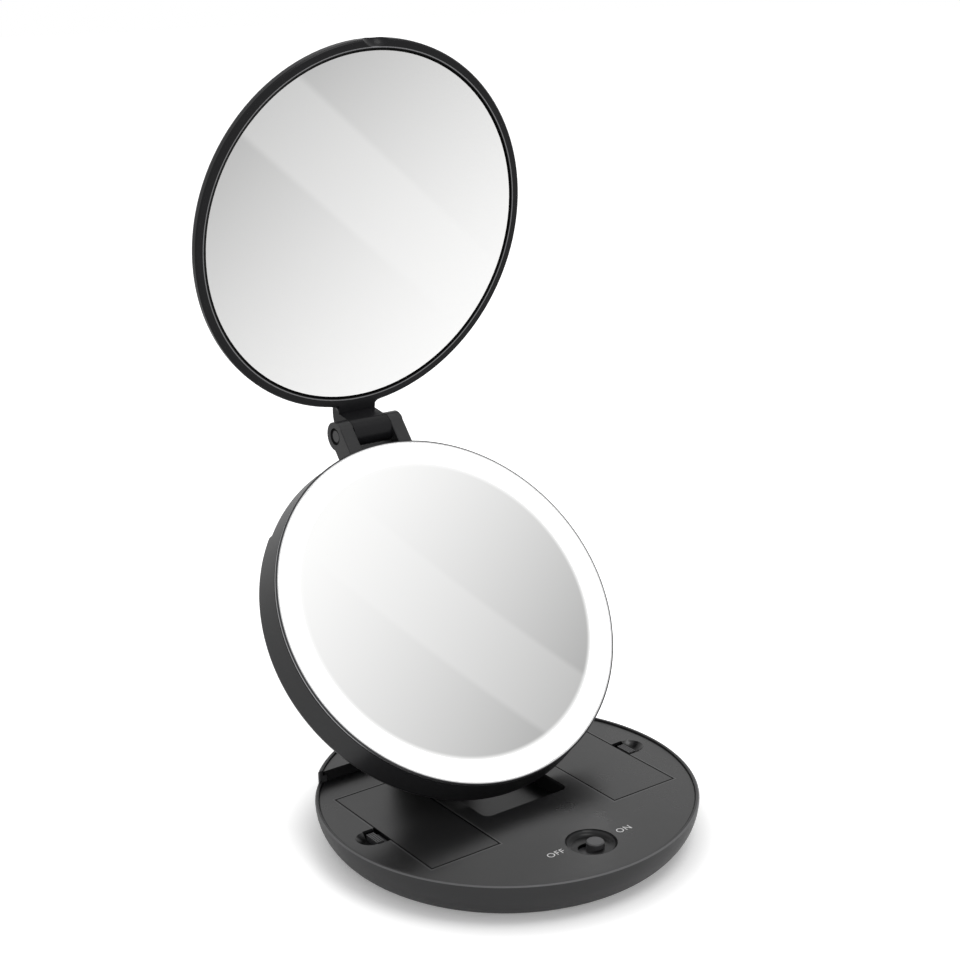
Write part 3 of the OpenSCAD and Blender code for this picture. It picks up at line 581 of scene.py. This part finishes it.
def piece(name, points, faces, material, body, replaced=()):
    """Makes a mesh piece that rides on a body of the model."""
    mesh = bpy.data.meshes.new(name)
    mesh.from_pydata(points, [], faces)
    mesh.validate()
    mesh.update()
    mesh.shade_smooth()
    made = bpy.data.objects.new(name, mesh)
    bpy.context.scene.collection.objects.link(made)
    mesh.materials.append(material)
    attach(made, body)
    if replaced:
        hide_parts(*replaced)
    return made


def tube_faces(rings, sides, start=0):
    """Quads of a tube of rings by sides points, closed by one polygon at each end.

    They face outwards where the points of each ring run clockwise, seen from the last ring."""
    i = np.arange(rings - 1)[:, None]
    j = np.arange(sides)[None, :]
    a = start + i * sides + j
    b = start + i * sides + (j + 1) % sides
    quads = np.stack([a, a + sides, b + sides, b], axis=-1).reshape(-1, 4)
    first = (start + np.arange(sides)).tolist()
    last = (start + (rings - 1) * sides + np.arange(sides)[::-1]).tolist()
    return quads.tolist() + [first, last]


def dished_glass(centre, lean, radius=57.2, sag=3.0, thick=1.8, rim=1.4, core=0.3, sides=128, steps=25):
    """A concave round glass of even thickness with a flat back rim, on a plane that leans.

    It is a profile turned round the glass's axis. Front and back of the profile are arcs of radius
    (radius squared plus sag squared) over twice the sag, from the rim to the small core. Each point is
    the centre plus the profile's radius times (cos a along X, sin a up the plane) plus its level times
    the direction square to the plane. lean is the angle between the plane and the level behind it, in
    degrees. Sizes in millimetres, centre in metres."""
    ball = (radius ** 2 + sag ** 2) / (2 * sag)
    out = np.linspace(core, radius, steps)
    back = np.linspace(radius - rim, core, steps)
    bowl = thick / 2 - sag + ball
    levels = [bowl - np.sqrt(ball ** 2 - out ** 2), (-thick / 2, -thick / 2),
              bowl - thick - np.sqrt(ball ** 2 - back ** 2)]
    level = np.concatenate(levels)[:, None, None] * MM
    reach = np.concatenate([out, (radius, radius - rim), back])[:, None] * MM
    angle = np.linspace(0, 2 * math.pi, sides, endpoint=False)
    slope = math.radians(lean)
    climb = np.array((0, math.cos(slope), math.sin(slope)))
    square = np.array((0, -math.sin(slope), math.cos(slope)))
    along = (reach * np.cos(angle))[..., None] * np.array((1, 0, 0))
    points = np.array(centre) + along + (reach * np.sin(angle))[..., None] * climb + level * square
    return points.reshape(-1, 3), len(reach), sides


def cone_spring(centre, way, length, wide, narrow, wire, turns, closed=0.8, steps=28, sides=8):
    """A wound contact spring from its wide end at centre, along Y if way is 1 and against it if -1.

    The path climbs while its radius shrinks from wide to narrow; the closed part of its first and its
    last turn lies flat. The tube is the path plus wire times (cos a times the outward direction, sin a
    times the direction square to both it and the path). Sizes in metres."""
    count = int(turns * steps)
    t = np.linspace(0, 1, count + 1)
    flat = closed / turns
    climb = np.clip((t - flat) / (1 - 2 * flat), 0, 1)
    angle = 2 * np.pi * turns * t
    radius = wide + (narrow - wide) * climb
    rise = wire + (length - 2 * wire) * climb
    out = np.stack([np.cos(angle), np.zeros_like(t), np.sin(angle)], axis=1)
    path = out * radius[:, None]
    path[:, 1] = way * rise
    along = np.gradient(path, axis=0)
    along /= np.linalg.norm(along, axis=1)[:, None]
    side = np.cross(out, along)
    a = np.linspace(0, 2 * np.pi, sides, endpoint=False)
    skin = np.cos(a)[None, :, None] * out[:, None] + np.sin(a)[None, :, None] * side[:, None]
    rings = path[:, None] + wire * skin
    return (rings + np.array(centre)).reshape(-1, 3), count + 1, sides


def word_mesh(name, word, height):
    """A word's flat letters, centred on the origin, with capitals of a height in metres."""
    curve = bpy.data.curves.new(name, "FONT")
    curve.body = word
    curve.size = height / CAPITAL_SHARE
    curve.align_x = "CENTER"
    curve.align_y = "CENTER"
    curve.space_character = 1.1
    text = bpy.data.objects.new(name, curve)
    bpy.context.scene.collection.objects.link(text)
    bpy.context.view_layer.update()
    mesh = bpy.data.meshes.new_from_object(text.evaluated_get(bpy.context.evaluated_depsgraph_get()))
    bpy.data.objects.remove(text)
    return mesh


def square_lamp(name, place, width, power):
    """A square lamp that faces the middle of the object."""
    data = bpy.data.lights.new(name, "AREA")
    data.shape = "SQUARE"
    data.size = width
    data.energy = power
    lamp = bpy.data.objects.new(name, data)
    bpy.context.scene.collection.objects.link(lamp)
    way = Vector(LAMP_AIM) - Vector(place)
    lamp.matrix_world = Matrix.Translation(place) @ way.to_track_quat("-Z", "Y").to_matrix().to_4x4()


class CameraSettings(bpy.types.PropertyGroup):
    """Where the photograph was taken from."""

    position: bpy.props.FloatVectorProperty(
        name="Position", description="Place of the lens", subtype="TRANSLATION", unit="LENGTH",
        size=3, default=(-0.32757, -0.44706, 0.29952), precision=5)
    azimuth: bpy.props.FloatProperty(
        name="Azimuth", description="Turn about the vertical; 0 looks to the rear", subtype="ANGLE",
        default=math.radians(-35.459))
    elevation: bpy.props.FloatProperty(
        name="Elevation", description="Angle down to the subject", subtype="ANGLE",
        default=math.radians(17.106))
    roll: bpy.props.FloatProperty(
        name="Roll", description="Turn about the line of sight", subtype="ANGLE",
        default=math.radians(-1.063))
    lens: bpy.props.FloatProperty(
        name="Lens", description="Focal length on a 36 mm frame", default=65.153)


class PlasticSettings(bpy.types.PropertyGroup):
    """Colours of the mouldings."""

    shell: bpy.props.FloatVectorProperty(
        name="Shell", description="Bottom shell", subtype="COLOR", size=3, default=(0.030, 0.030, 0.031))
    plate: bpy.props.FloatVectorProperty(
        name="Plate", description="Top plate and battery doors", subtype="COLOR", size=3,
        default=(0.012, 0.012, 0.0125))
    trim: bpy.props.FloatVectorProperty(
        name="Trim", description="Switch knob and latches", subtype="COLOR", size=3,
        default=(0.055, 0.055, 0.057))
    housing: bpy.props.FloatVectorProperty(
        name="Housing", description="Rear housing of the lit mirror", subtype="COLOR", size=3,
        default=(0.016, 0.016, 0.017))
    lid: bpy.props.FloatVectorProperty(
        name="Lid", description="Lid frame", subtype="COLOR", size=3, default=(0.010, 0.010, 0.011))
    arm: bpy.props.FloatVectorProperty(
        name="Arm", description="Support arm", subtype="COLOR", size=3, default=(0.030, 0.030, 0.032))


class LightRingSettings(bpy.types.PropertyGroup):
    """The light ring and the mirrors."""

    glow: bpy.props.FloatProperty(
        name="Glow", description="Brightness of the light ring, where 1 is white", default=1.15, min=0)
    glass: bpy.props.FloatVectorProperty(
        name="Glass", description="Colour that the silvered glass gives back", subtype="COLOR", size=3,
        default=(0.99, 0.99, 0.985))


class LetterSettings(bpy.types.PropertyGroup):
    """The words printed beside the switch."""

    height: bpy.props.FloatProperty(
        name="Height", description="Height of the capitals", unit="LENGTH", default=2.6 * MM)
    reach: bpy.props.FloatProperty(
        name="Reach", description="Distance of each word from the switch", unit="LENGTH", default=14.2 * MM)
    ink: bpy.props.FloatVectorProperty(
        name="Ink", description="Colour of the print", subtype="COLOR", size=3, default=(0.75, 0.75, 0.75))


class SpringSettings(bpy.types.PropertyGroup):
    """The contact springs in the battery bays."""

    wire: bpy.props.FloatProperty(
        name="Wire", description="Radius of the wire", unit="LENGTH", default=0.28 * MM)
    wide: bpy.props.FloatProperty(
        name="Wide end", description="Radius of the coil at the contact plate", unit="LENGTH",
        default=3.1 * MM)
    narrow: bpy.props.FloatProperty(
        name="Narrow end", description="Radius of the coil at the cell", unit="LENGTH", default=1.9 * MM)
    turns: bpy.props.FloatProperty(
        name="Turns", description="Turns of the coil", default=5.5, min=3, max=12)


class StudioSettings(bpy.types.PropertyGroup):
    """Floor, lamps and the light of the room."""

    room: bpy.props.FloatProperty(
        name="Room", description="Even light from all round", default=0.5, min=0)
    key: bpy.props.FloatProperty(
        name="Key", description="Power of the lamp overhead", unit="POWER", default=5.1)
    fill: bpy.props.FloatProperty(
        name="Fill", description="Power of the lamp in front, on the left", unit="POWER", default=4.2)
    floor: bpy.props.FloatVectorProperty(
        name="Floor", description="Colour of the floor", subtype="COLOR", size=3,
        default=(0.92, 0.92, 0.92))
    # Less white close to the base is painted shade round it.
    haze: bpy.props.FloatProperty(
        name="Haze", description="Share of white that the floor adds close to the base",
        default=0.25, min=0)


class MIRROR_OT_camera(bpy.types.Operator):
    """Set up the camera from which the photograph was taken"""

    bl_idname = "mirror.camera"
    bl_label = "Camera"

    def execute(self, context):
        s = context.scene.mirror_camera
        az, el, roll = s.azimuth, s.elevation, s.roll
        back = Vector((math.sin(az) * math.cos(el), -math.cos(az) * math.cos(el), math.sin(el)))
        level = Vector((math.cos(az), math.sin(az), 0))
        rise = back.cross(level)
        right = math.cos(roll) * level + math.sin(roll) * rise
        up = -math.sin(roll) * level + math.cos(roll) * rise
        data = bpy.data.cameras.new("camera")
        data.sensor_width = 36
        data.lens = s.lens
        data.clip_start = 0.01
        data.clip_end = 20
        camera = bpy.data.objects.new("camera", data)
        context.scene.collection.objects.link(camera)
        turn = Matrix((right, up, back)).transposed().to_4x4()
        camera.matrix_world = Matrix.Translation(Vector(s.position)) @ turn
        context.scene.camera = camera
        return {"FINISHED"}


class MIRROR_OT_base_finishes(bpy.types.Operator):
    """Finish the base: shell, plate, doors, latches, switch and pad"""

    bl_idname = "mirror.base_finishes"
    bl_label = "Base finishes"

    def execute(self, context):
        s = context.scene.mirror_plastic
        # The shell gets a painted highlight on its lip; the plate and doors get painted shade and painted
        # highlights.
        dress(moulded_plastic("charcoal_shell", s.shell, 0.42, specular=0.3, lines=shell_painted_highlight),
              "base_bottom_shell")
        dress(moulded_plastic("charcoal_plate", s.plate, 0.30, lines=plate_painted_light), "base_top_plate",
              "battery_door_left", "battery_door_right")
        dress(moulded_plastic("grey_slider", s.trim, 0.38), "door_latch_left", "door_latch_right",
              "switch_knob")
        dress(rubber("pad_rubber", (0.015, 0.015, 0.015)), "non_slip_pad")
        dress(worked_metal("zinc_screw", (0.55, 0.56, 0.58), 0.35), "base_screws", "bracket_screws")
        return {"FINISHED"}


class MIRROR_OT_bay_finishes(bpy.types.Operator):
    """Finish the battery bays and what the base hides"""

    bl_idname = "mirror.bay_finishes"
    bl_label = "Bay finishes"

    def execute(self, context):
        dress(moulded_plastic("black_tray", (0.014, 0.014, 0.015), 0.5), "battery_tray_left",
              "battery_tray_right", "switch_lever")
        dress(printed_jacket("cell_jacket", (0.02, 0.02, 0.022), (0.55, 0.34, 0.10),
                             float(CELL_LOW[1]), float(CELL_HIGH[1])),
              "battery_cells_left", "battery_cells_right")
        dress(worked_metal("nickel_plate", (0.72, 0.70, 0.66), 0.25), "battery_contacts", "switch_body")
        dress(board_lacquer("green_board", (0.02, 0.16, 0.06)), "switch_board")
        return {"FINISHED"}


class MIRROR_OT_contact_springs(bpy.types.Operator):
    """Wind the contact springs of the battery bays"""

    bl_idname = "mirror.contact_springs"
    bl_label = "Contact springs"

    def execute(self, context):
        s = context.scene.mirror_spring
        diameter = float(CELL_HIGH[2] - CELL_LOW[2])
        height = float(CELL_LOW[2] + CELL_HIGH[2]) / 2
        inner = float(CELL_LOW[0]) + diameter / 2
        outer = float(CELL_HIGH[0]) - diameter / 2
        points, faces = [], []
        for side in (-1, 1):
            for x, y, way in ((inner, SPRING_HIGH[1], -1), (outer, SPRING_LOW[1], 1)):
                ring, rings, sides = cone_spring((side * x, float(y), height), way, SPRING_LENGTH, s.wide,
                                                 s.narrow, s.wire, s.turns)
                start = sum(len(block) for block in points)
                faces += tube_faces(rings, sides, start)
                points.append(ring)
        metal = worked_metal("spring_wire", (0.74, 0.73, 0.70), 0.22)
        piece("contact_springs", np.concatenate(points), faces, metal, "base",
              ("battery_springs",))
        return {"FINISHED"}


class MIRROR_OT_arm_finishes(bpy.types.Operator):
    """Finish the arm, its pins and the tilt bracket"""

    bl_idname = "mirror.arm_finishes"
    bl_label = "Arm finishes"

    def execute(self, context):
        s = context.scene.mirror_plastic
        dress(moulded_plastic("arm_plastic", s.arm, 0.42), "support_arm", "arm_cover", "tilt_bracket")
        dress(worked_metal("pin_steel", (0.50, 0.50, 0.52), 0.28), "arm_hinge_pin", "tilt_pin")
        return {"FINISHED"}


class MIRROR_OT_lit_mirror_finishes(bpy.types.Operator):
    """Finish the lit mirror: housing, bezel, light ring, carrier and chips"""

    bl_idname = "mirror.lit_mirror_finishes"
    bl_label = "Lit mirror finishes"

    def execute(self, context):
        s = context.scene.mirror_plastic
        light = context.scene.mirror_light
        dress(moulded_plastic("housing_plastic", s.housing, 0.34, specular=0.3), "disc_rear_housing")
        # The bezel carries a painted highlight and a face painted as the light ring's glow.
        dress(painted_light_trim("bezel_silver", node_centre("disc_front_bezel"), DISC_LEAN), "disc_front_bezel")
        dress(glowing_diffuser("glowing_ring", (1.0, 1.0, 1.0), light.glow), "light_diffuser_ring")
        dress(moulded_plastic("white_plastic", (0.8, 0.8, 0.79), 0.5), "mirror_carrier", "led_board")
        dress(glowing_diffuser("chip_phosphor", (1.0, 0.9, 0.5), 0.5), "led_chips")
        return {"FINISHED"}


class MIRROR_OT_magnifying_glass(bpy.types.Operator):
    """Grind the magnifying glass and silver it"""

    bl_idname = "mirror.magnifying_glass"
    bl_label = "Magnifying glass"

    def execute(self, context):
        light = context.scene.mirror_light
        centre = node_centre("magnifying_mirror")
        # The glass carries a painted reflection.
        silver = silvered_glass("magnifying_silver", light.glass, centre, DISC_LEAN, MAGNIFIER_PAINTED_SHEEN)
        dress(silver, "magnifying_mirror")
        points, rings, sides = dished_glass(centre, DISC_LEAN)
        made = piece("magnifying_glass", points, tube_faces(rings, sides), silver, "lit_mirror",
                     ("magnifying_mirror",))
        made.data.set_sharp_from_angle(angle=SHARP_EDGE)
        return {"FINISHED"}


class MIRROR_OT_lid_finishes(bpy.types.Operator):
    """Finish the lid: frame, hinge pin and glass"""

    bl_idname = "mirror.lid_finishes"
    bl_label = "Lid finishes"

    def execute(self, context):
        s = context.scene.mirror_plastic
        light = context.scene.mirror_light
        # The lid frame carries painted shade round its glass and a painted highlight; the lid's glass
        # carries a painted reflection.
        dress(polished_plastic("lid_plastic", s.lid, 0.30, specular=0.14, lines=lid_painted_light), "lid_frame")
        dress(moulded_plastic("pin_cap", (0.03, 0.03, 0.031), 0.35), "lid_hinge_pin")
        dress(rubber("foam_tape", (0.7, 0.7, 0.66)), "lid_mirror_pad")
        dress(silvered_glass("lid_silver", light.glass, node_centre("lid_mirror"), LID_LEAN, LID_PAINTED_SHEEN),
              "lid_mirror")
        return {"FINISHED"}


class MIRROR_OT_lettering(bpy.types.Operator):
    """Print ON and OFF on the plate beside the switch"""

    bl_idname = "mirror.lettering"
    bl_label = "Lettering"

    def execute(self, context):
        s = context.scene.mirror_letters
        ink = white_ink("white_ink", s.ink)
        level = float(node_centre("switch_knob")[1])
        for word, side, (across, along) in WORDS:
            name = "letters_" + word.lower()
            mesh = word_mesh(name, word, s.height)
            place = (side * s.reach + across * MM, level + along * MM, PLATE_TOP + INK_HEIGHT)
            mesh.transform(Matrix.Translation(place))
            mesh.materials.clear()
            mesh.materials.append(ink)
            print_ = bpy.data.objects.new(name, mesh)
            context.scene.collection.objects.link(print_)
            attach(print_, "base")
        return {"FINISHED"}


class MIRROR_OT_studio(bpy.types.Operator):
    """Set up floor, room light and lamps"""

    bl_idname = "mirror.studio"
    bl_label = "Studio"

    def execute(self, context):
        s = context.scene.mirror_studio
        scene = context.scene
        scene.view_settings.view_transform = "Standard"
        scene.world = bright_room("room", s.room)
        mesh = bpy.data.meshes.new("floor")
        h = FLOOR_HALF
        mesh.from_pydata([(-h, -h, 0), (h, -h, 0), (h, h, 0), (-h, h, 0)], [], [(0, 1, 2, 3)])
        mesh.materials.append(floor_finish("pale_floor", s.floor, s.haze))
        floor = bpy.data.objects.new("floor", mesh)
        scene.collection.objects.link(floor)
        square_lamp("key_lamp", *KEY_LAMP, s.key)
        square_lamp("fill_lamp", *FILL_LAMP, s.fill)
        return {"FINISHED"}


STEPS = (
    MIRROR_OT_camera, MIRROR_OT_base_finishes, MIRROR_OT_bay_finishes, MIRROR_OT_contact_springs,
    MIRROR_OT_arm_finishes, MIRROR_OT_lit_mirror_finishes, MIRROR_OT_magnifying_glass,
    MIRROR_OT_lid_finishes, MIRROR_OT_lettering, MIRROR_OT_studio,
)
SETTINGS = {
    "mirror_camera": CameraSettings,
    "mirror_plastic": PlasticSettings,
    "mirror_light": LightRingSettings,
    "mirror_letters": LetterSettings,
    "mirror_spring": SpringSettings,
    "mirror_studio": StudioSettings,
}


class MIRROR_PT_panel(bpy.types.Panel):
    """Lists the steps that dress the mirror"""

    bl_idname = "MIRROR_PT_panel"
    bl_label = "Folding Mirror"
    bl_space_type = "VIEW_3D"
    bl_region_type = "UI"
    bl_category = "Mirror"

    def draw(self, context):
        for step in STEPS:
            self.layout.operator(step.bl_idname)
        for name, group in SETTINGS.items():
            box = self.layout.box()
            for key in group.__annotations__:
                box.prop(getattr(context.scene, name), key)


def register():
    """Adds the classes, and the settings to the scene."""
    for name, group in SETTINGS.items():
        bpy.utils.register_class(group)
        setattr(bpy.types.Scene, name, bpy.props.PointerProperty(type=group))
    for cls in (*STEPS, MIRROR_PT_panel):
        bpy.utils.register_class(cls)


def unregister():
    """Takes the classes and the settings away again."""
    for cls in (MIRROR_PT_panel, *reversed(STEPS)):
        bpy.utils.unregister_class(cls)
    for name, group in reversed(SETTINGS.items()):
        delattr(bpy.types.Scene, name)
        bpy.utils.unregister_class(group)


def main():
    """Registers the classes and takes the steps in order."""
    register()
    for step in STEPS:
        group, name = step.bl_idname.split(".")
        getattr(getattr(bpy.ops, group), name)()


if __name__ == "__main__":
    main()
